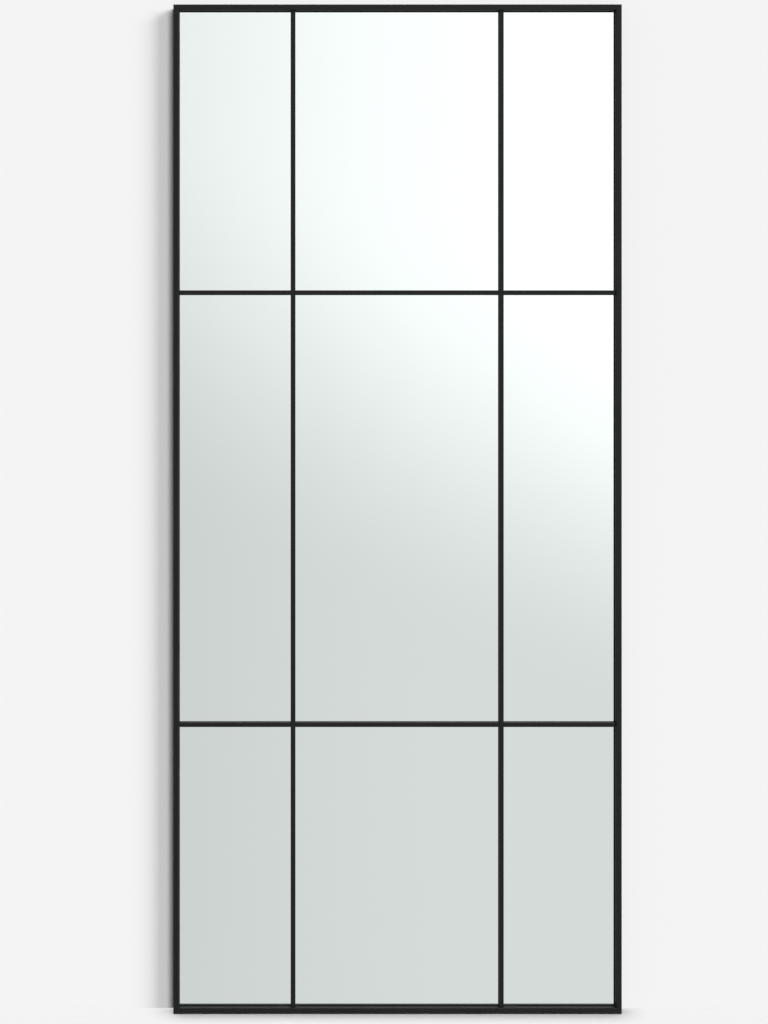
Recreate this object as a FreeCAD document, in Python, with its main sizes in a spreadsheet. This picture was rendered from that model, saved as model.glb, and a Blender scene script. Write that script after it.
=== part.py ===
"""Leaning floor mirror: a slim steel window-pane frame round one sheet of mirror glass.

The mirror stands upright, faces -Y, and rests on the pads under its bottom rail at Z = 0.
X = 0 is the middle of its width, and Y = 0 the middle of its depth, wall bumpers included.
All sizes are in millimetres and live in the sheet "size".
"""
import FreeCAD, Part
import os
import Sketcher

Vector = FreeCAD.Vector
document = FreeCAD.newDocument("floor_mirror")

# ---------------------------------------------------------------- driving sizes

DRIVING_SIZES = {
    # steel frame, welded from rectangular tube
    "frame_width": 800,
    "frame_height": 1800,
    "frame_depth": 30,
    "face_width": 10,
    "tube_wall": 1.2,
    "tube_corner": 1.5,
    "tube_inner_corner": 0.4,
    "cutter_margin": 5,
    # square glazing bars in front of the glass
    "bar_width": 8,
    "bar_depth": 8,
    "bar_corner": 0.6,
    "side_pane_width": 200,
    "end_pane_height": 500,
    # mirror glass and what holds its edges
    "glass_thickness": 4,
    "glass_clearance": 1,
    "glass_arris": 0.5,
    "edge_block_length": 40,
    # foam tape and backing board
    "tape_count": 5,
    "tape_thickness": 1,
    "tape_width": 20,
    "tape_edge_gap": 20,
    "tape_end_gap": 40,
    "board_thickness": 4,
    "board_clearance": 0.5,
    "board_corner": 3,
    # bent clips that hold the board, and their screws
    "clips_per_stile": 4,
    "clips_per_rail": 2,
    "clip_end_distance": 150,
    "clip_width": 16,
    "clip_reach": 14,
    "clip_thickness": 1.5,
    "clip_bend": 0.5,
    "clip_back_gap": 0.5,
    "screw_diameter": 2.9,
    "screw_length": 6.5,
    "screw_head_diameter": 5.6,
    "screw_head_height": 2,
    "screw_head_margin": 0.2,
    "screw_head_chamfer": 0.8,
    "screw_clearance": 0.1,
    # keyhole hangers for wall screws
    "hanger_width": 24,
    "hanger_height": 60,
    "hanger_thickness": 2,
    "hanger_corner": 3,
    "hanger_end_distance": 75,
    "keyhole_entry_diameter": 11,
    "keyhole_slot_width": 5.5,
    "keyhole_travel": 14,
    # rubber bumpers behind and pads below
    "bumper_base_diameter": 7.6,
    "bumper_top_diameter": 5.6,
    "bumper_height": 2,
    "bumper_end_distance": 45,
    "foot_height": 1,
    "foot_length": 60,
    "foot_width": 18,
    "foot_corner": 4,
    "foot_end_distance": 90,
}

size = document.addObject("Spreadsheet::Sheet", "size")
for row, (alias, number) in enumerate(DRIVING_SIZES.items(), start=1):
    size.set(f"A{row}", alias)
    size.set(f"B{row}", str(number))
    size.setAlias(f"B{row}", alias)
document.recompute()

# ---------------------------------------------------------------- places that pieces share

FRONT_Y = "-(size.frame_depth + size.bumper_height) / 2"
INNER_WIDTH = "(size.frame_width - 2 * size.face_width)"
INNER_HEIGHT = "(size.frame_height - 2 * size.face_width)"
INNER_BOTTOM = "(size.foot_height + size.face_width)"
INNER_TOP = f"({INNER_BOTTOM} + {INNER_HEIGHT})"
MIDDLE_Z = f"({INNER_BOTTOM} + {INNER_HEIGHT} / 2)"

# the upright leg of a board clip holds a screw head between its inner bend and its free edge
CLIP_HEIGHT = "(size.clip_thickness + size.clip_bend + size.screw_head_diameter + 2 * size.screw_head_margin)"

# depths behind the frame's front face, stacked forwards from the clips' free edges
CLIP_TOP = "(size.frame_depth - size.clip_back_gap)"
BOARD_BACK = f"({CLIP_TOP} - {CLIP_HEIGHT})"
BOARD_FRONT = f"({BOARD_BACK} - size.board_thickness)"
GLASS_BACK = f"({BOARD_FRONT} - size.tape_thickness)"
GLASS_FRONT = f"({GLASS_BACK} - size.glass_thickness)"
BAR_FRONT = f"({GLASS_FRONT} - size.bar_depth)"
SCREW_DEPTH = f"({CLIP_TOP} - size.screw_head_margin - size.screw_head_diameter / 2)"
SCREW_HOLE_DIAMETER = "(size.screw_diameter + 2 * size.screw_clearance)"

# each side of the frame: turn about Y, then the middle of its inner wall
SIDES = {
    "top": (0, "0", INNER_TOP),
    "right": (90, f"{INNER_WIDTH} / 2", MIDDLE_Z),
    "bottom": (180, "0", INNER_BOTTOM),
    "left": (-90, f"-{INNER_WIDTH} / 2", MIDDLE_Z),
}

# from the first clip to the last along a side of the frame
STILE_CLIP_SPAN = "(size.frame_height - 2 * size.clip_end_distance)"
RAIL_CLIP_SPAN = "(size.frame_width - 2 * size.clip_end_distance)"

sub_parts = []


# ---------------------------------------------------------------- drawing with the sheet's sizes

def value(expression):
    """The number that an expression on the sheet gives now."""
    return float(size.evalExpression(expression))


def keep(sub_part, label, x, depth, z, turn=0):
    """Names a sub-part and places it: x and z in the frame, depth behind the frame's front face."""
    sub_part.Label = label
    sub_part.Placement = FreeCAD.Placement(Vector(), FreeCAD.Rotation(Vector(0, 1, 0), turn))
    sub_part.setExpression("Placement.Base.x", x)
    sub_part.setExpression("Placement.Base.y", f"{FRONT_Y} + {depth}")
    sub_part.setExpression("Placement.Base.z", z)
    sub_parts.append(sub_part)


def new_sketch(body, name, role):
    """A sketch on one of the body's own origin planes."""
    plane = [feature for feature in body.Origin.OriginFeatures if feature.Role == role][0]
    sketch = body.newObject("Sketcher::SketchObject", name)
    sketch.AttachmentSupport = [(plane, "")]
    sketch.MapMode = "FlatFace"
    return sketch


def bind(sketch, kind, geometry, point, expression):
    """Ties a point's level or upright distance from the sketch's origin to an expression."""
    index = sketch.addConstraint(Sketcher.Constraint(kind, -1, 1, geometry, point, value(expression)))
    sketch.setExpression(f"Constraints[{index}]", expression)


def bind_radius(sketch, geometry, expression):
    index = sketch.addConstraint(Sketcher.Constraint("Radius", geometry, value(expression)))
    sketch.setExpression(f"Constraints[{index}]", expression)


def outline(sketch, corners):
    """A closed outline through (x, y) corners, joined by straight lines."""
    points = [Vector(value(x), value(y), 0) for x, y in corners]
    lines = []
    for start, end in zip(points, points[1:] + points[:1]):
        lines.append(sketch.addGeometry(Part.LineSegment(start, end), False))
    for index, line in enumerate(lines):
        sketch.addConstraint(Sketcher.Constraint("Coincident", lines[index - 1], 2, line, 1))
        bind(sketch, "DistanceX", line, 1, corners[index][0])
        bind(sketch, "DistanceY", line, 1, corners[index][1])


def square_outline(sketch, corners):
    """A closed outline of level and upright lines through (x, y, radius) corners.

    A corner whose radius is None stays sharp, and any other gets an arc tangent to both lines.
    """
    points = [Vector(value(x), value(y), 0) for x, y, radius in corners]
    radii = [value(radius) if radius else 0 for x, y, radius in corners]
    directions = []
    lines = []
    for index, start in enumerate(points):
        after = (index + 1) % len(points)
        direction = (points[after] - start).normalize()
        directions.append(direction)
        segment = Part.LineSegment(start + direction * radii[index], points[after] - direction * radii[after])
        line = sketch.addGeometry(segment, False)
        lines.append(line)
        if abs(direction.x) > abs(direction.y):
            sketch.addConstraint(Sketcher.Constraint("Horizontal", line))
            bind(sketch, "DistanceY", line, 1, corners[index][1])
        else:
            sketch.addConstraint(Sketcher.Constraint("Vertical", line))
            bind(sketch, "DistanceX", line, 1, corners[index][0])
    for index, corner in enumerate(points):
        before = lines[index - 1]
        after = lines[index]
        if not radii[index]:
            sketch.addConstraint(Sketcher.Constraint("Coincident", before, 2, after, 1))
            continue
        arriving = directions[index - 1]
        leaving = directions[index]
        centre = corner + (leaving - arriving) * radii[index]
        first = corner - arriving * radii[index]
        last = corner + leaving * radii[index]
        turns_left = arriving.cross(leaving).z > 0
        if not turns_left:
            first, last = last, first
        ring = Part.Circle(centre, Vector(0, 0, 1), radii[index])
        arc = sketch.addGeometry(Part.ArcOfCircle(ring, ring.parameter(first), ring.parameter(last)), False)
        arc_start, arc_end = (1, 2) if turns_left else (2, 1)
        sketch.addConstraint(Sketcher.Constraint("Tangent", before, 2, arc, arc_start))
        sketch.addConstraint(Sketcher.Constraint("Tangent", arc, arc_end, after, 1))
        bind_radius(sketch, arc, corners[index][2])


def rectangle(left, bottom, right, top, radius=None):
    """The four corners of a rectangle, anticlockwise, for square_outline."""
    return [(left, bottom, radius), (right, bottom, radius), (right, top, radius), (left, top, radius)]


def circle(sketch, x, y, diameter):
    shape = Part.Circle(Vector(value(x), value(y), 0), Vector(0, 0, 1), value(diameter) / 2)
    ring = sketch.addGeometry(shape, False)
    bind(sketch, "DistanceX", ring, 3, x)
    bind(sketch, "DistanceY", ring, 3, y)
    bind_radius(sketch, ring, f"{diameter} / 2")


def pad(body, sketch, length, both_ways=False, backwards=False):
    """Solid from a sketch: along its normal, against it, or half each way."""
    feature = body.newObject("PartDesign::Pad", "pad")
    feature.Profile = sketch
    feature.setExpression("Length", length)
    feature.SideType = "Symmetric" if both_ways else "One side"
    feature.Reversed = backwards
    return feature


def pocket(body, sketch, depth, both_ways=False, along_normal=False):
    """Cut from a sketch, which has to take material away."""
    document.recompute()
    volume_before = body.Shape.Volume
    feature = body.newObject("PartDesign::Pocket", "pocket")
    feature.Profile = sketch
    feature.setExpression("Length", depth)
    feature.SideType = "Symmetric" if both_ways else "One side"
    feature.Reversed = along_normal
    document.recompute()
    if body.Shape.Volume >= volume_before:
        raise RuntimeError(f"a pocket in {body.Label} cuts nothing")
    return feature


def revolve(body, sketch):
    """Solid of revolution about the sketch's upright axis."""
    feature = body.newObject("PartDesign::Revolution", "revolution")
    feature.Profile = sketch
    feature.ReferenceAxis = (sketch, ["V_Axis"])
    return feature


# ---------------------------------------------------------------- the tube frame

def frame_tube(label, side, length, clip_count, clip_span):
    """One mitred side of the frame, drilled through its inner wall for the clip screws.

    Drawn with X along the tube, Y backwards from the front face, and Z outwards from the inner wall.
    """
    tube = document.addObject("PartDesign::Body", label)
    section = new_sketch(tube, "section", "YZ_Plane")
    square_outline(section, rectangle("0", "0", "size.frame_depth", "size.face_width", "size.tube_corner"))
    square_outline(section, rectangle(
        "size.tube_wall", "size.tube_wall",
        "size.frame_depth - size.tube_wall", "size.face_width - size.tube_wall", "size.tube_inner_corner"))
    pad(tube, section, length, both_ways=True)

    mitres = new_sketch(tube, "mitres", "XZ_Plane")
    for end in ("", "-"):
        outline(mitres, [
            (f"{end}({length} / 2 + size.cutter_margin)", "size.face_width + size.cutter_margin"),
            (f"{end}({length} / 2 - size.face_width - size.cutter_margin)", "-size.cutter_margin"),
            (f"{end}({length} / 2 + size.cutter_margin)", "-size.cutter_margin"),
        ])
    pocket(tube, mitres, "2 * (size.frame_depth + size.cutter_margin)", both_ways=True)

    screw_hole = new_sketch(tube, "screw_hole", "XY_Plane")
    circle(screw_hole, f"-{clip_span} / 2", SCREW_DEPTH, SCREW_HOLE_DIAMETER)
    drilled = pocket(tube, screw_hole, "(size.tube_wall + size.face_width) / 2", along_normal=True)
    holes = tube.newObject("PartDesign::LinearPattern", "screw_holes")
    holes.Originals = [drilled]
    holes.Direction = (screw_hole, ["H_Axis"])
    holes.setExpression("Length", clip_span)
    holes.setExpression("Occurrences", clip_count)
    tube.Tip = holes

    turn, x, z = SIDES[side]
    keep(tube, label, x, "0", z, turn)


frame_tube("left_stile", "left", "size.frame_height", "size.clips_per_stile", STILE_CLIP_SPAN)
frame_tube("right_stile", "right", "size.frame_height", "size.clips_per_stile", STILE_CLIP_SPAN)
frame_tube("top_rail", "top", "size.frame_width", "size.clips_per_rail", RAIL_CLIP_SPAN)
frame_tube("bottom_rail", "bottom", "size.frame_width", "size.clips_per_rail", RAIL_CLIP_SPAN)


# ---------------------------------------------------------------- the glazing bars

def glazing_bar(label, length, x, z, turn=0):
    """A solid square bar, cut to length and welded at both ends."""
    bar = document.addObject("PartDesign::Body", label)
    section = new_sketch(bar, "section", "YZ_Plane")
    square_outline(section, rectangle(
        "0", "-size.bar_width / 2", "size.bar_depth", "size.bar_width / 2", "size.bar_corner"))
    pad(bar, section, length, both_ways=True)
    keep(bar, label, x, BAR_FRONT, z, turn)


UPRIGHT = -90
BAR_X = f"({INNER_WIDTH} / 2 - size.side_pane_width - size.bar_width / 2)"
BAR_Z = f"({INNER_HEIGHT} / 2 - size.end_pane_height - size.bar_width / 2)"
CENTRE_PANE_WIDTH = f"(2 * {BAR_X} - size.bar_width)"
SIDE_PANE_X = f"({BAR_X} + size.bar_width / 2 + size.side_pane_width / 2)"

glazing_bar("left_glazing_bar", INNER_HEIGHT, f"-{BAR_X}", MIDDLE_Z, UPRIGHT)
glazing_bar("right_glazing_bar", INNER_HEIGHT, BAR_X, MIDDLE_Z, UPRIGHT)
for level, bar_z in (("upper", f"{MIDDLE_Z} + {BAR_Z}"), ("lower", f"{MIDDLE_Z} - {BAR_Z}")):
    glazing_bar(f"{level}_left_crossbar", "size.side_pane_width", f"-{SIDE_PANE_X}", bar_z)
    glazing_bar(f"{level}_centre_crossbar", CENTRE_PANE_WIDTH, "0", bar_z)
    glazing_bar(f"{level}_right_crossbar", "size.side_pane_width", SIDE_PANE_X, bar_z)


# ---------------------------------------------------------------- glass, tape and backing board

def sheet_panel(label, clearance, thickness, corner, depth):
    """A flat sheet that fills the frame, less its clearance all round."""
    panel = document.addObject("PartDesign::Body", label)
    face = new_sketch(panel, "face", "XZ_Plane")
    half_width = f"({INNER_WIDTH} / 2 - {clearance})"
    half_height = f"({INNER_HEIGHT} / 2 - {clearance})"
    square_outline(face, rectangle(f"-{half_width}", f"-{half_height}", half_width, half_height, corner))
    sheet = pad(panel, face, thickness, backwards=True)
    keep(panel, label, "0", depth, MIDDLE_Z)
    return panel, sheet


mirror_glass, glass_sheet = sheet_panel(
    "mirror_glass", "size.glass_clearance", "size.glass_thickness", None, GLASS_FRONT)
document.recompute()
polished_faces = [
    f"Face{number}" for number, face in enumerate(glass_sheet.Shape.Faces, start=1)
    if abs(face.normalAt(0, 0).y) > abs(face.normalAt(0, 0).x) + abs(face.normalAt(0, 0).z)]
arris = mirror_glass.newObject("PartDesign::Chamfer", "arris")
arris.Base = (glass_sheet, polished_faces)
arris.setExpression("Size", "size.glass_arris")

sheet_panel("backing_board", "size.board_clearance", "size.board_thickness", "size.board_corner", BOARD_FRONT)


def strip(label, width, thickness, height, x, depth, z):
    """A cut strip of tape or rubber, given by its middle in x and z and its front face in depth."""
    piece = document.addObject("Part::Box", label)
    piece.setExpression("Length", width)
    piece.setExpression("Width", thickness)
    piece.setExpression("Height", height)
    keep(piece, label, f"{x} - {width} / 2", depth, f"{z} - {height} / 2")


TAPE_SPAN = f"({INNER_WIDTH} - 2 * size.tape_edge_gap - size.tape_width)"
for number in range(1, int(value("size.tape_count")) + 1):
    strip(f"tape_strip_{number}", "size.tape_width", "size.tape_thickness",
          f"({INNER_HEIGHT} - 2 * size.tape_end_gap)",
          f"{TAPE_SPAN} * (({number} - 1) / (size.tape_count - 1) - 1 / 2)", GLASS_BACK, MIDDLE_Z)

# rubber blocks under the glass and spacers round its edge, at the quarter points
EDGE_X = f"({INNER_WIDTH} / 2 - size.glass_clearance / 2)"
EDGE_Z = f"({INNER_HEIGHT} / 2 - size.glass_clearance / 2)"
for hand, sign in (("left", "-"), ("right", "")):
    quarter_x = f"{sign}{INNER_WIDTH} / 4"
    strip(f"{hand}_setting_block", "size.edge_block_length", "size.glass_thickness", "size.glass_clearance",
          quarter_x, GLASS_FRONT, f"{MIDDLE_Z} - {EDGE_Z}")
    strip(f"top_{hand}_spacer", "size.edge_block_length", "size.glass_thickness", "size.glass_clearance",
          quarter_x, GLASS_FRONT, f"{MIDDLE_Z} + {EDGE_Z}")
    for level, direction in (("lower", "-"), ("upper", "+")):
        strip(f"{hand}_{level}_spacer", "size.glass_clearance", "size.glass_thickness",
              "size.edge_block_length", f"{sign}{EDGE_X}", GLASS_FRONT,
              f"{MIDDLE_Z} {direction} {INNER_HEIGHT} / 4")


# ---------------------------------------------------------------- clips and screws behind the board

def clip_places():
    """Each clip's label, side, and place along that side."""
    for side, count, span in (("left", "size.clips_per_stile", STILE_CLIP_SPAN),
                              ("right", "size.clips_per_stile", STILE_CLIP_SPAN),
                              ("top", "size.clips_per_rail", RAIL_CLIP_SPAN),
                              ("bottom", "size.clips_per_rail", RAIL_CLIP_SPAN)):
        turn, x, z = SIDES[side]
        for number in range(1, int(value(count)) + 1):
            along = f"{span} * (({number} - 1) / ({count} - 1) - 1 / 2)"
            if side in ("left", "right"):
                yield f"{side}_clip_{number}", turn, x, f"{z} + {along}"
            else:
                yield f"{side}_clip_{number}", turn, f"{x} + {along}", z


def retaining_clip(label, turn, x, z):
    """A bent steel angle: one leg flat on the board, the other screwed to the tube's inner wall.

    Drawn with X along the tube, Y backwards from the board, and Z outwards from the inner wall.
    """
    clip = document.addObject("PartDesign::Body", label)
    profile = new_sketch(clip, "profile", "YZ_Plane")
    square_outline(profile, [
        ("0", "-size.clip_reach", None),
        ("size.clip_thickness", "-size.clip_reach", None),
        ("size.clip_thickness", "-size.clip_thickness", "size.clip_bend"),
        (CLIP_HEIGHT, "-size.clip_thickness", None),
        (CLIP_HEIGHT, "0", None),
        ("0", "0", "size.clip_bend + size.clip_thickness"),
    ])
    pad(clip, profile, "size.clip_width", both_ways=True)
    screw_hole = new_sketch(clip, "screw_hole", "XY_Plane")
    circle(screw_hole, "0", f"{SCREW_DEPTH} - {BOARD_BACK}", SCREW_HOLE_DIAMETER)
    pocket(clip, screw_hole, "size.clip_thickness")
    keep(clip, label, x, BOARD_BACK, z, turn)


def clip_screw():
    """A pan-head screw along Z, its head seated on the inner face of the clip's upright leg."""
    screw = document.addObject("PartDesign::Body", "clip_screw")
    profile = new_sketch(screw, "profile", "XZ_Plane")
    head_top = "-(size.clip_thickness + size.screw_head_height)"
    shank_end = "size.screw_length - size.clip_thickness"
    head_edge = "size.screw_head_diameter / 2"
    outline(profile, [
        ("0", head_top),
        (f"{head_edge} - size.screw_head_chamfer", head_top),
        (head_edge, f"{head_top} + size.screw_head_chamfer"),
        (head_edge, "-size.clip_thickness"),
        ("size.screw_diameter / 2", "-size.clip_thickness"),
        ("size.screw_diameter / 2", shank_end),
        ("0", shank_end),
    ])
    revolve(screw, profile)
    return screw


screw_pattern = clip_screw()
screw_copies = []
for clip_label, clip_turn, clip_x, clip_z in clip_places():
    retaining_clip(clip_label, clip_turn, clip_x, clip_z)
    copy = document.addObject("App::Link", f"{clip_label}_screw")
    copy.LinkedObject = screw_pattern
    copy.Placement = FreeCAD.Placement(Vector(), FreeCAD.Rotation(Vector(0, 1, 0), clip_turn))
    copy.setExpression("Placement.Base.x", clip_x)
    copy.setExpression("Placement.Base.y", f"{FRONT_Y} + {SCREW_DEPTH}")
    copy.setExpression("Placement.Base.z", clip_z)
    screw_copies.append(copy)
clip_screws = document.addObject("Part::Compound", "clip_screws")
clip_screws.Links = screw_copies
sub_parts.append(clip_screws)


# ---------------------------------------------------------------- keyhole hangers

def keyhole_hanger(label, x):
    """A steel tab welded to the stile's inner wall near the top, with a keyhole for a wall screw.

    Its back stays clear of the tube's rounded edge, and the screw head moves in the space before it.
    """
    hanger = document.addObject("PartDesign::Body", label)
    tab = new_sketch(hanger, "tab", "XZ_Plane")
    square_outline(tab, rectangle("-size.hanger_width / 2", "-size.hanger_height / 2",
                                  "size.hanger_width / 2", "size.hanger_height / 2", "size.hanger_corner"))
    pad(hanger, tab, "size.hanger_thickness", backwards=True)
    entry = new_sketch(hanger, "entry", "XZ_Plane")
    circle(entry, "0", "-size.keyhole_travel / 2", "size.keyhole_entry_diameter")
    pocket(hanger, entry, "size.hanger_thickness")
    seat = new_sketch(hanger, "seat", "XZ_Plane")
    circle(seat, "0", "size.keyhole_travel / 2", "size.keyhole_slot_width")
    pocket(hanger, seat, "size.hanger_thickness")
    slot = new_sketch(hanger, "slot", "XZ_Plane")
    square_outline(slot, rectangle("-size.keyhole_slot_width / 2", "-size.keyhole_travel / 2",
                                   "size.keyhole_slot_width / 2", "size.keyhole_travel / 2"))
    pocket(hanger, slot, "size.hanger_thickness")
    keep(hanger, label, x, "size.frame_depth - size.tube_corner - size.hanger_thickness",
         f"{INNER_TOP} + size.face_width - size.hanger_end_distance")


keyhole_hanger("left_hanger", f"-{INNER_WIDTH} / 2 + size.hanger_width / 2")
keyhole_hanger("right_hanger", f"{INNER_WIDTH} / 2 - size.hanger_width / 2")


# ---------------------------------------------------------------- bumpers and foot pads

def wall_bumper(label, x, z):
    """A stuck-on rubber dot that keeps the stile's back off the wall."""
    bumper = document.addObject("PartDesign::Body", label)
    profile = new_sketch(bumper, "profile", "XY_Plane")
    outline(profile, [
        ("0", "0"),
        ("size.bumper_base_diameter / 2", "0"),
        ("size.bumper_top_diameter / 2", "size.bumper_height"),
        ("0", "size.bumper_height"),
    ])
    revolve(bumper, profile)
    keep(bumper, label, x, "size.frame_depth", z)


def foot_pad(label, x):
    """A thin non-slip pad stuck under the bottom rail, which also keeps steel off the floor."""
    foot = document.addObject("PartDesign::Body", label)
    footprint = new_sketch(foot, "footprint", "XY_Plane")
    square_outline(footprint, rectangle("-size.foot_length / 2", "-size.foot_width / 2",
                                        "size.foot_length / 2", "size.foot_width / 2", "size.foot_corner"))
    pad(foot, footprint, "size.foot_height")
    keep(foot, label, x, "size.frame_depth / 2", "0")


STILE_X = "(size.frame_width / 2 - size.face_width / 2)"
for hand, sign in (("left", "-"), ("right", "")):
    wall_bumper(f"{hand}_lower_bumper", f"{sign}{STILE_X}", "size.foot_height + size.bumper_end_distance")
    wall_bumper(f"{hand}_upper_bumper", f"{sign}{STILE_X}",
                "size.foot_height + size.frame_height - size.bumper_end_distance")
    foot_pad(f"{hand}_foot_pad", f"{sign}(size.frame_width / 2 - size.foot_end_distance)")


# ---------------------------------------------------------------- check and write the sub-parts

document.recompute()
for feature in document.Objects:
    if "Invalid" in feature.State or "Error" in feature.State:
        raise RuntimeError(f"{feature.Label} failed: {feature.State}")

os.makedirs("parts", exist_ok=True)
for sub_part in sub_parts:
    shape = sub_part.Shape
    if shape.isNull() or not shape.isValid() or not shape.Solids:
        raise RuntimeError(f"{sub_part.Label} has no valid solid")
    shape.exportStep(f"parts/{sub_part.Label}.step")
print(f"{len(sub_parts)} sub-parts written")
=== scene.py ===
"""A leaning floor mirror: one sheet of mirror glass behind a grid of square glazing bars, in a slim
black steel frame. Every piece gets its finish here, the clip screws and the hangers' weld beads get
their detail, and the mirror is lit and framed for its picture. Lengths are in metres, with +Z up
and the glass facing -Y.
"""

import math

import bpy
import numpy as np
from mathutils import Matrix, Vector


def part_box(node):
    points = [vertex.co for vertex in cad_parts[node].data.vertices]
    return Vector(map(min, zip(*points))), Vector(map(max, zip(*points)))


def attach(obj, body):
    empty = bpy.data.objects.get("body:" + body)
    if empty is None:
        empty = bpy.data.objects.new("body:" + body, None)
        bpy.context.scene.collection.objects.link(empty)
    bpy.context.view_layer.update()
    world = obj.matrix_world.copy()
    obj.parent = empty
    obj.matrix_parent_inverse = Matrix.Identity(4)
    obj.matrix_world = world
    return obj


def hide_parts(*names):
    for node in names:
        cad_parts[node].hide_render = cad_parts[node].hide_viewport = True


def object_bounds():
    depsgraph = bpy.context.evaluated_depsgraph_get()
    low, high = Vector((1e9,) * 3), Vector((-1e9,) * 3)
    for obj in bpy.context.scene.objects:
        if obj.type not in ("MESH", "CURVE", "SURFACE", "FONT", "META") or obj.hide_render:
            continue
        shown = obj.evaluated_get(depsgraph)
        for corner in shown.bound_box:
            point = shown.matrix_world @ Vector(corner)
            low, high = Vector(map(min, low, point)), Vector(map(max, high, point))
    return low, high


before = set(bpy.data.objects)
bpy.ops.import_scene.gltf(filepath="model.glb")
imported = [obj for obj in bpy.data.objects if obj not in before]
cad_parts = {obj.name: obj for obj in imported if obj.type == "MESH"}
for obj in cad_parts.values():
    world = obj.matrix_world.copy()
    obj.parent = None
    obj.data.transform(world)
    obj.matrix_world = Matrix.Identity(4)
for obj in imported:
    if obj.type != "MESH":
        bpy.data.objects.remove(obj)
cad_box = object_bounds()


# ---- Frame, glazing bars and hangers -----------------------------------------------------------
# Four mitred lengths of 10 x 30 mm steel tube, with 8 mm square bars butted between them and two
# keyhole tabs behind. They are welded, ground flush and then sprayed as one piece, in a satin black
# powder coat with a fine orange peel.
TUBES = ["left_stile", "right_stile", "top_rail", "bottom_rail"]
UPRIGHT_BARS = ["left_glazing_bar", "right_glazing_bar"]
CROSSBARS = [f"{level}_{place}_crossbar" for level in ("upper", "lower")
             for place in ("left", "centre", "right")]
HANGERS = ["left_hanger", "right_hanger"]
COAT_DARK = (0.0030, 0.0034, 0.0032, 1)
COAT_PALE = (0.0050, 0.0055, 0.0052, 1)
COAT_CLOUD_SIZE = 0.06
COAT_SPECULAR = 0.25
COAT_ROUGHNESS = (0.40, 0.48)
SLANT_LIMITS = (0.45, 0.85)
SLANT_ROUGHNESS = 0.14
PEEL_SIZE = 0.0011
PEEL_DEPTH = 0.000012
FINE_GRAIN_SIZE = 0.0003
FINE_GRAIN_SHARE = 0.35  # of the peel's depth


def start_finish(name):
    """A new material: the material, its node tree and the shader that the tree feeds."""
    material = bpy.data.materials.new(name)
    material.use_nodes = True
    tree = material.node_tree
    return material, tree, tree.nodes["Principled BSDF"]


def add_node(tree, kind, inputs=None, **settings):
    """Adds a node with these settings. Each named or numbered input gets a value, or a link where
    what is given is another node's output."""
    made = tree.nodes.new(kind)
    for name, value in settings.items():
        setattr(made, name, value)
    for name, value in (inputs or {}).items():
        if isinstance(value, bpy.types.NodeSocket):
            tree.links.new(value, made.inputs[name])
        else:
            made.inputs[name].default_value = value
    return made


def place_on_piece(tree, stretch=(1, 1, 1)):
    """The point on the piece, in metres, with each axis multiplied by its stretch."""
    point = add_node(tree, "ShaderNodeTexCoord").outputs["Object"]
    return add_node(tree, "ShaderNodeMapping", {"Vector": point, "Scale": stretch}).outputs[0]


def in_range(tree, value, low, high, start=0.0, end=1.0, curve="LINEAR"):
    """A value from low to high becomes one from start to end, and stops there."""
    made = add_node(tree, "ShaderNodeMapRange", {"Value": value, "From Min": low, "From Max": high,
                                                 "To Min": start, "To Max": end},
                    interpolation_type=curve)
    return made.outputs[0]


def grain(tree, place, size, detail=2.0, low=0.3, high=0.7):
    """Cloudy noise with features of about this size, spread so that low to high becomes 0 to 1."""
    noise = add_node(tree, "ShaderNodeTexNoise", {"Vector": place, "Scale": 1 / size, "Detail": detail})
    return in_range(tree, noise.outputs[0], low, high)


def between(tree, share, first, second):
    """The colour that lies this share of the way from the first colour to the second."""
    colour_a, colour_b, colour_out = 6, 7, 2
    made = add_node(tree, "ShaderNodeMix", {0: share, colour_a: first, colour_b: second},
                    data_type="RGBA")
    return made.outputs[colour_out]


def calculate(tree, operation, first, second=0.0):
    """The result of one operation on two values, or on the first alone if it takes only one."""
    return add_node(tree, "ShaderNodeMath", {0: first, 1: second}, operation=operation).outputs[0]


def finish_shader(tree, shader, colour, roughness, height=None, depth=0.0):
    """Feeds the shader a colour, a roughness and a relief that is this deep from 0 to 1."""
    tree.links.new(colour, shader.inputs["Base Color"])
    tree.links.new(roughness, shader.inputs["Roughness"])
    if height is not None:
        bump = add_node(tree, "ShaderNodeBump", {"Height": height, "Distance": depth})
        tree.links.new(bump.outputs["Normal"], shader.inputs["Normal"])


def powder_coat():
    """Satin black: orange peel of about a millimetre with a much finer grain in it, and clouds of
    slightly paler coat. Seen at a slant the fine grain hides the gloss, so it looks rougher."""
    material, tree, shader = start_finish("black_powder_coat")
    place = place_on_piece(tree)
    peel = grain(tree, place, PEEL_SIZE)
    fine = grain(tree, place, FINE_GRAIN_SIZE)
    clouds = grain(tree, place, COAT_CLOUD_SIZE)
    colour = between(tree, clouds, COAT_DARK, COAT_PALE)
    uneven = in_range(tree, calculate(tree, "ADD", clouds, fine), 0, 2, *COAT_ROUGHNESS)
    slant = add_node(tree, "ShaderNodeLayerWeight").outputs["Facing"]
    hidden_gloss = in_range(tree, slant, *SLANT_LIMITS, 0.0, SLANT_ROUGHNESS)
    roughness = calculate(tree, "ADD", uneven, hidden_gloss)
    relief = calculate(tree, "ADD", peel, calculate(tree, "MULTIPLY", fine, FINE_GRAIN_SHARE))
    finish_shader(tree, shader, colour, roughness, relief, PEEL_DEPTH)
    shader.inputs["Specular IOR Level"].default_value = COAT_SPECULAR
    return material


def give_finish(material, names):
    """Every material slot of these nodes gets this material."""
    for name in names:
        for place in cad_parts[name].material_slots:
            place.material = material


coat = powder_coat()
give_finish(coat, TUBES + UPRIGHT_BARS + CROSSBARS + HANGERS)


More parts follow.
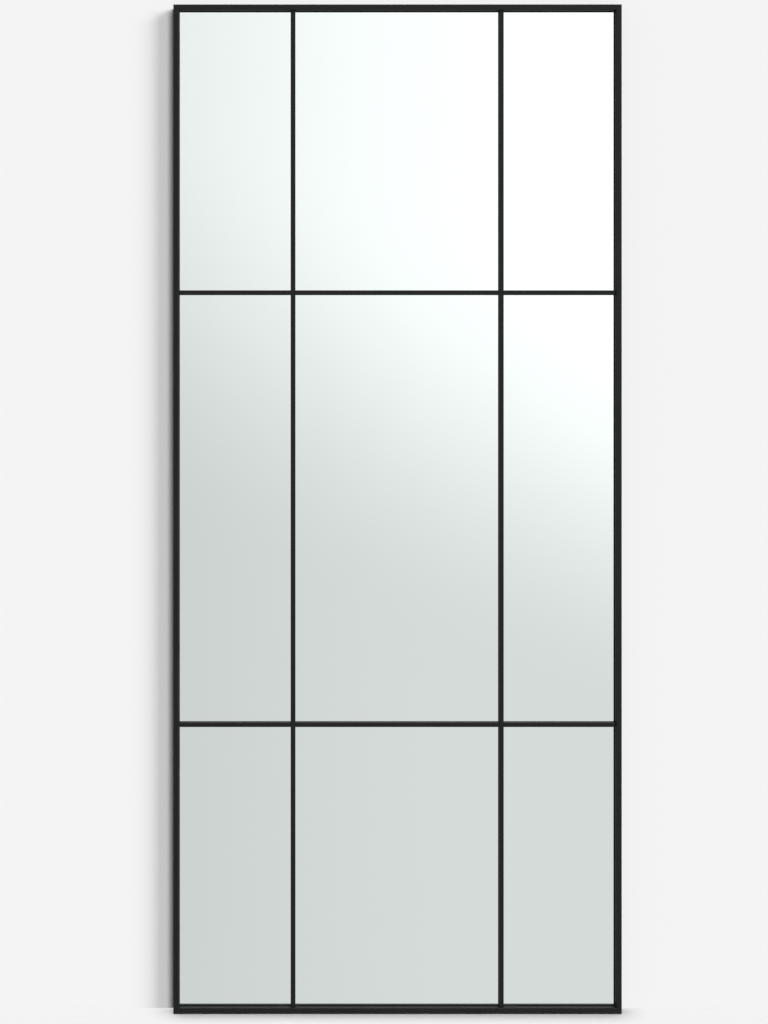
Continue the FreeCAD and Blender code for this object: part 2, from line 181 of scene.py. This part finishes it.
# ---- Weld beads of the hangers -----------------------------------------------------------------
# Each keyhole tab is tacked to its stile by three short weld beads along its outer edge, in the
# corner between the tab's back and the tube's inner wall. They are coated with the frame.
BEADS_PER_HANGER = 3
BEAD_RADIUS = 0.0011
BEAD_LENGTH = 0.011
BEAD_END_GAP = 0.005
BEAD_ROWS = 73
BEAD_COLUMNS = 24
RIPPLE_PITCH = 0.0012
RIPPLE_HEIGHT = 0.07  # of the bead's radius
RIPPLE_LEAD = 0.35  # of the pitch


def mesh_from_grids(name, grids):
    """One object from grids of points, each of rows x columns x 3. The columns close on themselves,
    the first and last rows each gather in one point, and the faces point outwards where the
    columns turn anticlockwise about the direction in which the rows advance."""
    points = []
    faces = []
    first = 0
    for grid in grids:
        rows, columns = grid.shape[:2]
        points += [grid[0, :1], grid[1:-1].reshape(-1, 3), grid[-1, :1]]
        ring = first + 1 + np.arange((rows - 2) * columns).reshape(rows - 2, columns)
        after = np.roll(ring, -1, axis=1)
        last = first + 1 + ring.size
        quads = np.stack([ring[:-1], after[:-1], after[1:], ring[1:]], axis=-1).reshape(-1, 4)
        start_fan = np.stack([np.full(columns, first), after[0], ring[0]], axis=-1)
        end_fan = np.stack([np.full(columns, last), ring[-1], after[-1]], axis=-1)
        faces += quads.tolist() + start_fan.tolist() + end_fan.tolist()
        first = last + 1
    mesh = bpy.data.meshes.new(name)
    mesh.from_pydata(np.concatenate(points).tolist(), [], faces)
    mesh.validate()
    mesh.shade_smooth()
    piece = bpy.data.objects.new(name, mesh)
    bpy.context.scene.collection.objects.link(piece)
    return piece


def weld_bead(middle):
    """An upright bead: a tube along Z whose radius is the bead's, times the fourth root of
    1 - t^4 so that both ends are round (t runs from -1 to 1 along it), times a row of crescent
    ripples, whose crests stand furthest up on the side between +X and +Y."""
    along = np.linspace(-1, 1, BEAD_ROWS)[:, None]
    angle = np.linspace(0, 2 * math.pi, BEAD_COLUMNS, endpoint=False)[None, :]
    lead = RIPPLE_PITCH * RIPPLE_LEAD * np.cos(angle - math.pi / 4)
    crests = np.cos(2 * math.pi * (along * BEAD_LENGTH / 2 - lead) / RIPPLE_PITCH)
    radius = BEAD_RADIUS * (1 - along ** 4) ** 0.25 * (1 + RIPPLE_HEIGHT * crests)
    x = middle[0] + radius * np.cos(angle)
    y = middle[1] + radius * np.sin(angle)
    z = middle[2] + along * BEAD_LENGTH / 2 + 0 * angle
    return np.stack([x, y, z], axis=-1)


def hanger_beads(side):
    """The beads of one hanger, evenly spaced between the ends of the tab's outer edge."""
    low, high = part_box(f"{side}_hanger")
    outer_edge = low.x if side == "left" else high.x
    reach = BEAD_END_GAP + BEAD_LENGTH / 2
    return [weld_bead((outer_edge, high.y, z))
            for z in np.linspace(low.z + reach, high.z - reach, BEADS_PER_HANGER)]


for side in ("left", "right"):
    beads = mesh_from_grids(f"{side}_hanger_welds", hanger_beads(side))
    beads.data.materials.append(coat)
    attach(beads, "root")


# ---- Mirror glass ------------------------------------------------------------------------------
# One sheet of 4 mm float glass, silvered behind, so the whole front shows the reflection with the
# glass's faint green. The silver is sealed under grey paint, and the arrised edges are ground.
GLASS_FACE_LIMIT = 0.9
SILVER_DARK = (0.892, 0.949, 0.929, 1)
SILVER_PALE = (0.896, 0.953, 0.933, 1)
SILVER_HAZE_SIZE = 0.12
SILVER_ROUGHNESS = (0.0005, 0.003)
PAINT_DARK = (0.19, 0.20, 0.21, 1)
PAINT_PALE = (0.25, 0.26, 0.27, 1)
PAINT_STROKE_WIDTH = 0.0008
PAINT_STROKE_STRETCH = (1, 1, 0.02)
EDGE_DARK = (0.06, 0.14, 0.11, 1)
EDGE_PALE = (0.10, 0.20, 0.16, 1)
GRINDING_SIZE = 0.0005
DULL_ROUGHNESS = (0.32, 0.48)


def backward_facing(tree):
    """How squarely the surface faces back: 1 on the back, 0 on the edges and -1 on the front."""
    facing = add_node(tree, "ShaderNodeTexCoord").outputs["Normal"]
    return add_node(tree, "ShaderNodeSeparateXYZ", {0: facing}).outputs["Y"]


def silvered_glass():
    """The surface that faces the room is the mirror, the one that faces the board is painted, and
    what lies between them is the edge, told apart by the way each faces."""
    material, tree, shader = start_finish("mirror_glass")
    place = place_on_piece(tree)
    backward = backward_facing(tree)
    is_front = calculate(tree, "LESS_THAN", backward, -GLASS_FACE_LIMIT)
    is_back = calculate(tree, "GREATER_THAN", backward, GLASS_FACE_LIMIT)
    strokes = grain(tree, place_on_piece(tree, PAINT_STROKE_STRETCH), PAINT_STROKE_WIDTH)
    paint = between(tree, strokes, PAINT_DARK, PAINT_PALE)
    grinding = grain(tree, place, GRINDING_SIZE)
    edge = between(tree, grinding, EDGE_DARK, EDGE_PALE)
    haze = grain(tree, place, SILVER_HAZE_SIZE)
    silver = between(tree, haze, SILVER_DARK, SILVER_PALE)
    colour = between(tree, is_front, between(tree, is_back, edge, paint), silver)
    dull = in_range(tree, grinding, 0, 1, *DULL_ROUGHNESS)
    not_front = calculate(tree, "SUBTRACT", 1.0, is_front)
    roughness = calculate(tree, "ADD", calculate(tree, "MULTIPLY", dull, not_front),
                          in_range(tree, haze, 0, 1, *SILVER_ROUGHNESS))
    finish_shader(tree, shader, colour, roughness)
    tree.links.new(is_front, shader.inputs["Metallic"])
    return material


give_finish(silvered_glass(), ["mirror_glass"])


# ---- Tape and backing board --------------------------------------------------------------------
# Five strips of double-sided foam tape hold a 4 mm board of pressed wood fibre against the back of
# the glass. The board is bare: smooth pressed faces with fibre flecks, and darker sawn edges.
TAPE_STRIPS = [f"tape_strip_{number}" for number in range(1, 6)]
BOARD_FACE_LIMIT = 0.7
BOARD_DARK = (0.240, 0.151, 0.085, 1)
BOARD_PALE = (0.345, 0.228, 0.137, 1)
BOARD_CLOUD_SIZE = 0.09
BOARD_MOTTLE_SIZE = 0.004
BOARD_ROUGHNESS = (0.62, 0.80)
SAWN_DARK = (0.130, 0.078, 0.042, 1)
SAWN_PALE = (0.205, 0.130, 0.075, 1)
PALE_FIBRE = (0.385, 0.262, 0.160, 1)
PALE_FIBRE_TURNS = [12, 71, 133]
PALE_FIBRE_LIMITS = (0.52, 0.72)
PALE_FIBRE_COVER = 0.7
DARK_FIBRE = (0.150, 0.090, 0.050, 1)
DARK_FIBRE_TURN = 40
DARK_FIBRE_LIMITS = (0.68, 0.76)
FIBRE_WIDTH = 0.0007
FIBRE_STRETCH = (1, 1, 0.125)
FIBRE_BEND = (0.004, 0.004, 0.004)
FIBRE_BENDS_PER_METRE = 130.0
FIBRE_DEPTH = 0.00004
# Painted shade: the colour at the bottom of the foam's dimples, darker than the foam between them.
FOAM_PAINTED_PIT_SHADE = (0.60, 0.60, 0.58, 1)
FOAM_DARK = (0.70, 0.70, 0.68, 1)
FOAM_PALE = (0.78, 0.78, 0.76, 1)
FOAM_CLOUD_SIZE = 0.01
FOAM_CELLS_PER_METRE = 1900.0
FOAM_CELL_REACH = 0.7  # of the space between two cells
FOAM_CELL_DEPTH = 0.00012
FOAM_ROUGHNESS = (0.85, 0.65)


def fibres(tree, turn, low, high):
    """Separate wavy fibres, eight times as long as they are wide, lying this way: turn is the angle
    from the upright in degrees."""
    place = place_on_piece(tree)
    wave = add_node(tree, "ShaderNodeTexNoise", {"Vector": place, "Scale": FIBRE_BENDS_PER_METRE,
                                                 "Detail": 1.0}).outputs["Color"]
    bent = add_node(tree, "ShaderNodeVectorMath", {0: wave, 1: FIBRE_BEND},
                    operation="MULTIPLY").outputs[0]
    moved = add_node(tree, "ShaderNodeVectorMath", {0: place, 1: bent}, operation="ADD").outputs[0]
    turned = add_node(tree, "ShaderNodeMapping", {"Vector": moved,
                                                  "Rotation": (0, math.radians(turn), 0)}).outputs[0]
    drawn = add_node(tree, "ShaderNodeMapping", {"Vector": turned, "Scale": FIBRE_STRETCH}).outputs[0]
    return grain(tree, drawn, FIBRE_WIDTH, 1.0, low, high)


def fibreboard():
    """Fine pale fibres lying every way, over clouds of colour, with a few short dark ones between
    them, and a darker mottled edge. The palest fibre at a point is the one that shows."""
    material, tree, shader = start_finish("backing_board")
    place = place_on_piece(tree)
    squarely = calculate(tree, "ABSOLUTE", backward_facing(tree))
    is_edge = calculate(tree, "LESS_THAN", squarely, BOARD_FACE_LIMIT)
    clouds = grain(tree, place, BOARD_CLOUD_SIZE, detail=4.0)
    mottle = grain(tree, place, BOARD_MOTTLE_SIZE, detail=3.0)
    pale = fibres(tree, PALE_FIBRE_TURNS[0], *PALE_FIBRE_LIMITS)
    for turn in PALE_FIBRE_TURNS[1:]:
        pale = calculate(tree, "MAXIMUM", pale, fibres(tree, turn, *PALE_FIBRE_LIMITS))
    dark = fibres(tree, DARK_FIBRE_TURN, *DARK_FIBRE_LIMITS)
    tone = calculate(tree, "MULTIPLY", calculate(tree, "ADD", clouds, mottle), 0.5)
    ground = between(tree, tone, BOARD_DARK, BOARD_PALE)
    cover = calculate(tree, "MULTIPLY", pale, PALE_FIBRE_COVER)
    face = between(tree, dark, between(tree, cover, ground, PALE_FIBRE), DARK_FIBRE)
    sawn = between(tree, mottle, SAWN_DARK, SAWN_PALE)
    colour = between(tree, is_edge, face, sawn)
    roughness = in_range(tree, pale, 0, 1, *BOARD_ROUGHNESS)
    finish_shader(tree, shader, colour, roughness, pale, FIBRE_DEPTH)
    return material


def closed_cell_foam():
    """White polyethylene foam: small round cells that show as shallow dimples, with painted shade
    that darkens the colour in each dimple. The height is 0 in the middle of a cell and 1 between cells."""
    material, tree, shader = start_finish("foam_tape")
    place = place_on_piece(tree)
    cells = add_node(tree, "ShaderNodeTexVoronoi", {"Vector": place,
                                                    "Scale": FOAM_CELLS_PER_METRE}).outputs[0]
    height = in_range(tree, cells, 0.0, FOAM_CELL_REACH)
    clouds = grain(tree, place, FOAM_CLOUD_SIZE)
    # The colour is painted darker towards the middle of each dimple, as painted shade.
    colour = between(tree, height, FOAM_PAINTED_PIT_SHADE, between(tree, clouds, FOAM_DARK, FOAM_PALE))
    roughness = in_range(tree, height, 0, 1, *FOAM_ROUGHNESS)
    finish_shader(tree, shader, colour, roughness, height, FOAM_CELL_DEPTH)
    return material


give_finish(fibreboard(), ["backing_board"])
give_finish(closed_cell_foam(), TAPE_STRIPS)


# ---- Rubber blocks, bumpers and foot pads ------------------------------------------------------
# Black rubber throughout: setting blocks and spacers round the edge of the glass, stick-on bumpers
# that meet the wall, and thin pads under the bottom rail. They are moulded, with a fine matt skin.
BLOCKS = ["left_setting_block", "right_setting_block", "top_left_spacer", "top_right_spacer",
          "left_lower_spacer", "left_upper_spacer", "right_lower_spacer", "right_upper_spacer"]
BUMPERS = [f"{side}_{level}_bumper" for side in ("left", "right") for level in ("lower", "upper")]
FOOT_PADS = ["left_foot_pad", "right_foot_pad"]
RUBBER_CLEAN = (0.013, 0.013, 0.014, 1)
RUBBER_DUSTY = (0.030, 0.030, 0.029, 1)
RUBBER_ROUGHNESS = (0.62, 0.85)
DUST_SIZE = 0.004
DUST_LIMITS = (0.45, 0.75)
PIT_SIZE = 0.0004
PIT_DEPTH = 0.00004


def matt_rubber():
    """Near-black, with a moulded skin of fine pits and a little dusting where it is paler."""
    material, tree, shader = start_finish("black_rubber")
    place = place_on_piece(tree)
    pits = grain(tree, place, PIT_SIZE, detail=3.0)
    dust = grain(tree, place, DUST_SIZE, 4.0, *DUST_LIMITS)
    colour = between(tree, dust, RUBBER_CLEAN, RUBBER_DUSTY)
    roughness = in_range(tree, pits, 0, 1, *RUBBER_ROUGHNESS)
    finish_shader(tree, shader, colour, roughness, pits, PIT_DEPTH)
    return material


give_finish(matt_rubber(), BLOCKS + BUMPERS + FOOT_PADS)


# ---- Retaining clips and their screws ----------------------------------------------------------
# Twelve clips bent from 1.5 mm steel strip press the board and glass forward against the bars.
# Each is held to the inside of the tube by one pan-head self-tapping screw with a cross recess.
# All of them are bright zinc plated.
STILE_CLIPS = [f"{side}_clip_{number}" for side in ("left", "right") for number in range(1, 5)]
RAIL_CLIPS = [f"{side}_clip_{number}" for side in ("top", "bottom") for number in range(1, 3)]
CLIP_THICKNESS = 0.0015
CLIP_ROUGHNESS = (0.24, 0.40)
SCREW_ROUGHNESS = (0.18, 0.30)
ZINC_DARK = (0.56, 0.575, 0.60, 1)
ZINC_PALE = (0.70, 0.705, 0.70, 1)
ZINC_CLOUD_SIZE = 0.006
ZINC_CRYSTALS_PER_METRE = 420.0
ROLLED_GRAIN_SIZE = 0.0012
ROLLED_GRAIN_STRETCH = (1, 1, 6)
ROLLED_GRAIN_DEPTH = 0.000006
SCREW_COLUMNS = 64
SCREW_TURN_SEED = 7
DRIVE_WAYS = {"left": (-1, 0, 0), "right": (1, 0, 0), "top": (0, 0, 1), "bottom": (0, 0, -1)}
CORE_RADIUS = 0.00108
THREAD_RADIUS = 0.00145
THREAD_PITCH = 0.0011
SHANK_LENGTH = 0.0065
SHANK_END_GAP = 0.0002
SHANK_ROWS = 44
POINT_LENGTH = 0.0014
POINT_POWER = 0.7
HEAD_RADIUS = 0.0028
HEAD_HEIGHT = 0.0020
HEAD_EDGE = 0.0007
BEVEL_WIDTH = 0.0002
BEVEL_HEIGHT = 0.0001
RIM_FOOT = 0.0003
RIM_ROWS = 7
CROWN_ROWS = 34
RECESS_REACH = 0.00155
RECESS_HALF_WIDTH = 0.00042
RECESS_DEPTH = 0.0012
RECESS_RISE = 0.45  # of the depth, from the middle to the reach
RECESS_SOFTNESS = 0.00014


def zinc_plate(name, roughness_limits):
    """Bright plated steel: cloudy crystals a few millimetres across under a fine rolled grain."""
    material, tree, shader = start_finish(name)
    place = place_on_piece(tree)
    crystals = add_node(tree, "ShaderNodeTexVoronoi", {"Vector": place,
                                                       "Scale": ZINC_CRYSTALS_PER_METRE})
    shade = add_node(tree, "ShaderNodeSeparateXYZ", {0: crystals.outputs["Color"]}).outputs["X"]
    rolled = grain(tree, place_on_piece(tree, ROLLED_GRAIN_STRETCH), ROLLED_GRAIN_SIZE)
    clouds = grain(tree, place, ZINC_CLOUD_SIZE)
    tone = calculate(tree, "MULTIPLY", calculate(tree, "ADD", shade, clouds), 0.5)
    colour = between(tree, tone, ZINC_DARK, ZINC_PALE)
    roughness = in_range(tree, calculate(tree, "ADD", rolled, shade), 0, 2, *roughness_limits)
    finish_shader(tree, shader, colour, roughness, rolled, ROLLED_GRAIN_DEPTH)
    shader.inputs["Metallic"].default_value = 1.0
    return material


def screw_shank(angle):
    """The shank's radius and height, from the tip up. The thread is a ridge, a third of a pitch
    wide, that climbs one pitch in each turn, and all of it shrinks to nothing along the point."""
    height = np.linspace(-SHANK_LENGTH, -SHANK_END_GAP, SHANK_ROWS)[:, None]
    ridge = 1 - 2 * np.abs((height / THREAD_PITCH - angle / (2 * math.pi)) % 1 - 0.5)
    thread = CORE_RADIUS + (THREAD_RADIUS - CORE_RADIUS) * np.clip(ridge * 3 - 2, 0, 1)
    taper = np.clip((height + SHANK_LENGTH) / POINT_LENGTH, 0, 1) ** POINT_POWER
    return taper * thread, height + 0 * angle


def soft_step(value, start, end):
    """0 before start and 1 after end, with a smooth rise between: 3t^2 - 2t^3."""
    t = np.clip((value - start) / (end - start), 0, 1)
    return t * t * (3 - 2 * t)


def recess_arm(along, across):
    """1 inside one arm of the cross recess and 0 outside it, with soft edges."""
    in_width = 1 - soft_step(across, RECESS_HALF_WIDTH, RECESS_HALF_WIDTH + RECESS_SOFTNESS)
    in_reach = 1 - soft_step(along, RECESS_REACH - RECESS_SOFTNESS, RECESS_REACH)
    return in_width * in_reach


def screw_head(angle, turn):
    """The head's radius and height, from its underside at the shank to the middle of its top: flat
    below, a small bevel, a quarter-round rim, and a dome that falls with the square of the radius.
    The cross is sunk where either arm is 1, and its floor rises a little from the middle."""
    under_radius = np.array([[CORE_RADIUS], [HEAD_RADIUS - BEVEL_WIDTH], [HEAD_RADIUS], [HEAD_RADIUS]])
    under_height = np.array([[0.0], [0.0], [BEVEL_HEIGHT], [RIM_FOOT]])
    rim_turn = np.linspace(0, math.pi / 2, RIM_ROWS)[:, None]
    rim_radius = HEAD_RADIUS - HEAD_EDGE * (1 - np.cos(rim_turn))
    rim_height = HEAD_HEIGHT - 2 * HEAD_EDGE + HEAD_EDGE * np.sin(rim_turn)
    top_radius = np.linspace(HEAD_RADIUS - HEAD_EDGE, 0, CROWN_ROWS)[1:, None] + 0 * angle
    crown = HEAD_EDGE * (1 - (top_radius / (HEAD_RADIUS - HEAD_EDGE)) ** 2)
    one_way = np.abs(top_radius * np.cos(angle - turn))
    other_way = np.abs(top_radius * np.sin(angle - turn))
    cross = np.maximum(recess_arm(one_way, other_way), recess_arm(other_way, one_way))
    sunk = RECESS_DEPTH * cross * (1 - RECESS_RISE * top_radius / RECESS_REACH)
    top_height = HEAD_HEIGHT - HEAD_EDGE + crown - sunk
    radius = np.concatenate([under_radius + 0 * angle, rim_radius + 0 * angle, top_radius])
    height = np.concatenate([under_height + 0 * angle, rim_height + 0 * angle, top_height])
    return radius, height


def pan_head_screw(seat, drive, turn):
    """One screw: a profile from the tip of its thread up to the middle of its head, turned about
    the axis. seat is the middle of the underside of the head, drive the way that the screw goes
    in, and turn how far round the cross has come to rest."""
    angle = np.linspace(0, 2 * math.pi, SCREW_COLUMNS, endpoint=False)[None, :]
    shank_radius, shank_height = screw_shank(angle)
    head_radius, head_height = screw_head(angle, turn)
    radius = np.concatenate([shank_radius, head_radius])
    height = np.concatenate([shank_height, head_height])
    out = -np.array(drive, float)
    side = np.array([0.0, 1.0, 0.0])
    third = np.cross(out, side)
    return (np.array(seat) + height[..., None] * out + (radius * np.cos(angle))[..., None] * side
            + (radius * np.sin(angle))[..., None] * third)


def clip_screw_places():
    """Where each screw's head seats and the way that it drives: into the tube that the clip's
    upright leg lies against, in line with the middle of the clip, at the depth of the screws."""
    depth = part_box("clip_screws")[0].y + HEAD_RADIUS
    places = []
    for name in STILE_CLIPS + RAIL_CLIPS:
        low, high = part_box(name)
        middle = (low + high) / 2
        half_reach = (high - low) / 2
        drive = DRIVE_WAYS[name.split("_")[0]]
        seat_x = middle.x + drive[0] * (half_reach.x - CLIP_THICKNESS)
        seat_z = middle.z + drive[2] * (half_reach.z - CLIP_THICKNESS)
        places.append(((seat_x, depth, seat_z), drive))
    return places


give_finish(zinc_plate("zinc_plated_clip", CLIP_ROUGHNESS), STILE_CLIPS + RAIL_CLIPS)

places = clip_screw_places()
turns = np.random.default_rng(SCREW_TURN_SEED).uniform(0, math.pi / 2, len(places))
screws = mesh_from_grids("pan_head_screws", [pan_head_screw(seat, drive, turn)
                                             for (seat, drive), turn in zip(places, turns)])
screws.data.materials.append(zinc_plate("zinc_plated_screw", SCREW_ROUGHNESS))
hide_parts("clip_screws")
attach(screws, "root")


# ---- Floor and wall ----------------------------------------------------------------------------
# A plain pale floor and a plain pale wall that the mirror stands against. They take the mirror's
# soft shadow and send no light back. The wall has only its front, so the back stays in view.
STAGE_REACH = 30.0
STAGE_LEVEL = 0.905
STAGE_COLOUR = (STAGE_LEVEL, STAGE_LEVEL, STAGE_LEVEL, 1)
WALL_GAP = 0.0005


def stage_sheet(name, corners, front_only=False):
    """A flat sheet that takes shadows and that only the camera sees."""
    mesh = bpy.data.meshes.new(name)
    mesh.from_pydata(corners, [], [(0, 1, 2, 3)])
    sheet = bpy.data.objects.new(name, mesh)
    bpy.context.scene.collection.objects.link(sheet)
    material, tree, shader = start_finish(name)
    tree.nodes.remove(shader)
    paint = add_node(tree, "ShaderNodeBsdfDiffuse", {"Color": STAGE_COLOUR}).outputs[0]
    if front_only:
        behind = add_node(tree, "ShaderNodeNewGeometry").outputs["Backfacing"]
        clear = add_node(tree, "ShaderNodeBsdfTransparent").outputs[0]
        paint = add_node(tree, "ShaderNodeMixShader", {0: behind, 1: paint, 2: clear}).outputs[0]
    tree.links.new(paint, tree.nodes["Material Output"].inputs["Surface"])
    mesh.materials.append(material)
    sheet.visible_diffuse = False
    sheet.visible_glossy = False
    sheet.visible_transmission = False
    sheet.visible_shadow = False
    return sheet


lowest, highest = cad_box
wall_y = highest.y + WALL_GAP
far = STAGE_REACH
floor = stage_sheet("floor", [(-far, -far, lowest.z), (far, -far, lowest.z),
                              (far, far, lowest.z), (-far, far, lowest.z)])
wall = stage_sheet("wall", [(-far, wall_y, lowest.z), (far, wall_y, lowest.z),
                            (far, wall_y, far), (-far, wall_y, far)], front_only=True)


# ---- Studio light ------------------------------------------------------------------------------
# Two soft lamps shine from the front right, one nearly square to the wall and one well round to the
# side. A narrow one overhead is the floor's only lamp, and a soft one lights the back; neither of
# these two falls on the wall. Over it all lies an even dim fill.
FRONT_LAMP = {"plan": 78, "height": 20, "spread": 23, "strength": 1.78}
SIDE_LAMP = {"plan": 38, "height": 20, "spread": 29, "strength": 1.95}
TOP_LAMP = {"plan": 270, "height": 89.9, "spread": 3.1, "strength": 2.76}
BACK_LAMP = {"plan": 235, "height": 40, "spread": 25, "strength": 3.3}
FILL = 0.12
ROOM_LEVEL = 0.627
ROOM_RISE = {"low": -0.157, "high": 0.142, "start": 0.0, "end": 0.118, "curve": "SMOOTHSTEP"}
GLOW_SLOPE = 0.408
GLOW_UPWARD = {"low": -0.086, "high": 0.144, "start": 0.0, "end": 1.0, "curve": "SMOOTHSTEP"}
GLOW_RIGHTWARD = {"low": -0.378, "high": 0.422, "start": 0.0, "end": 0.53, "curve": "SMOOTHSTEP"}


def soft_lamp(name, plan, height, spread, strength, shines=True):
    """A far lamp that spreads over this angle. plan is its direction seen from above, in degrees
    from +X towards -Y, and height its angle above the floor. One that doesn't shine leaves the
    gloss to the room's own light."""
    light = bpy.data.lights.new(name, "SUN")
    light.energy = strength
    light.angle = math.radians(spread)
    light.cycles.use_multiple_importance_sampling = False
    lamp = bpy.data.objects.new(name, light)
    bpy.context.scene.collection.objects.link(lamp)
    lamp.rotation_euler = (math.radians(90 - height), 0, math.radians(90 - plan))
    lamp.visible_glossy = shines
    return lamp


def keep_off(lamps, sheets):
    """These lamps don't light these sheets."""
    unlit = bpy.data.collections.new("unlit_" + "_".join(sheet.name for sheet in sheets))
    for sheet in sheets:
        unlit.objects.link(sheet)
    for linked in unlit.collection_objects:
        linked.light_linking.link_state = "EXCLUDE"
    for lamp in lamps:
        lamp.light_linking.receiver_collection = unlit


keep_off([soft_lamp("front_lamp", **FRONT_LAMP, shines=False),
          soft_lamp("side_lamp", **SIDE_LAMP, shines=False)], [floor])
keep_off([soft_lamp("top_lamp", **TOP_LAMP)], [wall])
keep_off([soft_lamp("back_lamp", **BACK_LAMP)], [floor, wall])


def studio_world():
    """What the camera sees round the object is the pale background. Mirrors and gloss see a pale
    grey room that brightens a little to the right, with a large soft glow high on that side, which
    fades evenly to the left and downwards; matt surfaces get the fill."""
    world = bpy.data.worlds.new("studio")
    world.use_nodes = True
    tree = world.node_tree
    tree.nodes.clear()
    way = add_node(tree, "ShaderNodeTexCoord").outputs["Generated"]
    parts = add_node(tree, "ShaderNodeSeparateXYZ", {0: way})
    rightward, upward = parts.outputs["X"], parts.outputs["Z"]
    slanted = calculate(tree, "ADD", upward, calculate(tree, "MULTIPLY", rightward, GLOW_SLOPE))
    glow = calculate(tree, "MULTIPLY", in_range(tree, slanted, **GLOW_UPWARD),
                     in_range(tree, rightward, **GLOW_RIGHTWARD))
    plain_room = calculate(tree, "ADD", in_range(tree, rightward, **ROOM_RISE), ROOM_LEVEL)
    level = calculate(tree, "ADD", plain_room, glow)
    room = add_node(tree, "ShaderNodeBackground", {"Color": (1, 1, 1, 1), "Strength": level})
    seen = add_node(tree, "ShaderNodeBackground", {"Color": (1, 1, 1, 1), "Strength": STAGE_LEVEL})
    fill = add_node(tree, "ShaderNodeBackground", {"Color": (1, 1, 1, 1), "Strength": FILL})
    path = add_node(tree, "ShaderNodeLightPath")
    bounced = calculate(tree, "ADD", path.outputs["Is Glossy Ray"], path.outputs["Is Transmission Ray"])
    in_sight = calculate(tree, "LESS_THAN", path.outputs["Diffuse Depth"], 0.5)
    reflected = calculate(tree, "MULTIPLY", bounced, in_sight)
    on_object = add_node(tree, "ShaderNodeMixShader", {0: reflected, 1: fill.outputs[0],
                                                       2: room.outputs[0]})
    shown = add_node(tree, "ShaderNodeMixShader", {0: path.outputs["Is Camera Ray"],
                                                   1: on_object.outputs[0], 2: seen.outputs[0]})
    output = add_node(tree, "ShaderNodeOutputWorld")
    tree.links.new(shown.outputs[0], output.inputs["Surface"])
    return world


bpy.context.scene.world = studio_world()
bpy.context.scene.view_settings.view_transform = "Standard"


# ---- Camera ------------------------------------------------------------------------------------
# It looks square at the wall, from a point just inside the left stile, so the inner walls of the
# right stile and of both rails show and the left stile's hardly does. The lens is shifted to bring
# the whole mirror into the picture.
EYE_DISTANCE = 3.3
EYE_HEIGHT = 1.113
EYE_INSIDE_STILE = 0.06
PICTURE_HEIGHT = 1.8261
PICTURE_MIDDLE = (-0.0243, 0.8954)
SENSOR_MM = 36.0
NEAREST_SEEN = 0.05
FURTHEST_SEEN = 200.0

eye = (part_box("left_stile")[1].x + EYE_INSIDE_STILE, lowest.y - EYE_DISTANCE, EYE_HEIGHT)
camera = bpy.data.cameras.new("camera")
camera.sensor_width = SENSOR_MM
camera.lens = SENSOR_MM * EYE_DISTANCE / PICTURE_HEIGHT
camera.shift_x = (PICTURE_MIDDLE[0] - eye[0]) / PICTURE_HEIGHT
camera.shift_y = (PICTURE_MIDDLE[1] - eye[2]) / PICTURE_HEIGHT
camera.clip_start = NEAREST_SEEN
camera.clip_end = FURTHEST_SEEN
viewer = bpy.data.objects.new("camera", camera)
viewer.location = eye
viewer.rotation_euler = (math.pi / 2, 0, 0)
bpy.context.scene.collection.objects.link(viewer)
bpy.context.scene.camera = viewer
